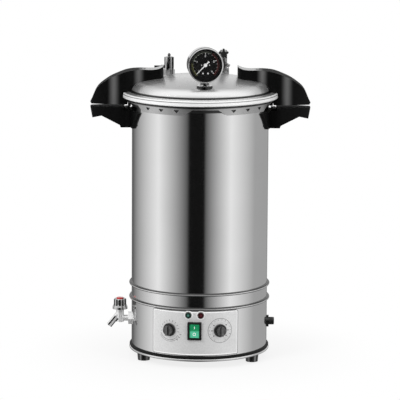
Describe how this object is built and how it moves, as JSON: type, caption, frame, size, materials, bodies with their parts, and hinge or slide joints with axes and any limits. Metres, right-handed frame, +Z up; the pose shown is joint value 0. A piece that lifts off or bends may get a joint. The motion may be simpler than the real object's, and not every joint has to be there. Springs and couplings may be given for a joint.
{
  "type": "vertical autoclave",
  "caption": "Portable electric steam steriliser: upright steel pressure vessel with a domed bayonet lid, gauge, valves, side handles, control panel and drain tap.",
  "frame": {"origin": "on the ground under the vessel's axis, at the level of the feet", "axes": "+Z up, -Y to the front, where the control panel and the gauge face"},
  "size_m": [0.4564, 0.324, 0.6627],
  "materials": {
    "barrel_steel": "brushed along the turn, bright",
    "lid_steel": "polished, bright",
    "plated": "bright plated",
    "handle_black": "glossy moulded black",
    "control_black": "semi-gloss black",
    "panel_silver": "satin overlay",
    "rubber_black": "matte",
    "seal_rubber": "matte silicone",
    "switch_green": "translucent green",
    "lamp_green": "translucent green",
    "lamp_red": "translucent red",
    "cap_red": "glossy red",
    "dial_black": "matte black with printed scale",
    "needle_white": "matte white",
    "clear": "clear"
  },
  "bodies": {
    "base": {"vessel_shell": "barrel_steel", "vessel_lug_ring": "barrel_steel", "upper_seam_bead": "barrel_steel", "middle_band": "barrel_steel", "lower_seam_bead": "barrel_steel", "base_sleeve": "barrel_steel", "base_trim_ring": "rubber_black", "base_pan": "lid_steel", "foot_left": "rubber_black", "foot_right": "rubber_black", "foot_back": "rubber_black", "vessel_handle_left": "handle_black", "vessel_handle_right": "handle_black", "control_panel": "panel_silver", "switch_bezel": "control_black", "green_lamp_bezel": "plated", "green_lamp_lens": "lamp_green", "red_lamp_bezel": "plated", "red_lamp_lens": "lamp_red", "drain_tap_nut": "plated", "drain_tap_body": "plated", "cable_gland_flange": "control_black", "cable_gland_cap": "control_black"},
    "lid": {"lid_shell": "lid_steel", "lid_gasket": "seal_rubber", "lid_handle_left": "handle_black", "lid_handle_right": "handle_black", "gauge_stem": "plated", "gauge_case": "plated", "gauge_bezel": "plated", "gauge_dial": "dial_black", "gauge_glass": "clear", "safety_valve_body": "plated", "safety_valve_spindle": "plated", "bleed_valve_body": "plated"},
    "gauge_needle": {"gauge_needle": "needle_white"},
    "safety_lever": {"safety_valve_lever": "plated"},
    "bleed_knob": {"bleed_valve_knob": "control_black"},
    "tap_knob": {"drain_tap_knob": "control_black", "drain_tap_knob_cap": "cap_red"},
    "pressure_knob": {"pressure_knob": "control_black"},
    "timer_knob": {"timer_knob": "control_black"},
    "switch_rocker": {"switch_rocker": "switch_green"}
  },
  "joints": [
    {"name": "lid_turn", "type": "hinge", "parent": "base", "child": "lid", "pos_m": [0, 0, 0.545], "axis": [0, 0, 1], "range_deg": [0, 36]},
    {"name": "gauge_needle_turn", "type": "hinge", "parent": "lid", "child": "gauge_needle", "pos_m": [0.00982, -0.12441, 0.62624], "axis": [-0.1392, 0.9903, 0], "range_deg": [0, 270]},
    {"name": "safety_lever_lift", "type": "hinge", "parent": "lid", "child": "safety_lever", "pos_m": [-0.08, 0.065, 0.59984], "axis": [0, -1, 0], "range_deg": [0, 20]},
    {"name": "bleed_knob_turn", "type": "hinge", "parent": "lid", "child": "bleed_knob", "pos_m": [0.048, 0.0567, 0.62867], "axis": [0, -1, 0], "range_deg": [-90, 360]},
    {"name": "tap_knob_turn", "type": "hinge", "parent": "base", "child": "tap_knob", "pos_m": [-0.1663, 0, 0.095], "axis": [0, 0, 1], "range_deg": [0, 90]},
    {"name": "pressure_knob_turn", "type": "hinge", "parent": "base", "child": "pressure_knob", "pos_m": [-0.06061, -0.13117, 0.0795], "axis": [0.4195, 0.9078, 0], "range_deg": [0, 270]},
    {"name": "timer_knob_turn", "type": "hinge", "parent": "base", "child": "timer_knob", "pos_m": [0.04321, -0.13789, 0.0795], "axis": [-0.299, 0.9542, 0], "range_deg": [0, 300]},
    {"name": "switch_rock", "type": "hinge", "parent": "base", "child": "switch_rocker", "pos_m": [-0.00939, -0.1452, 0.0795], "axis": [0.9979, -0.0645, 0], "range_deg": [0, 18]}
  ]
}
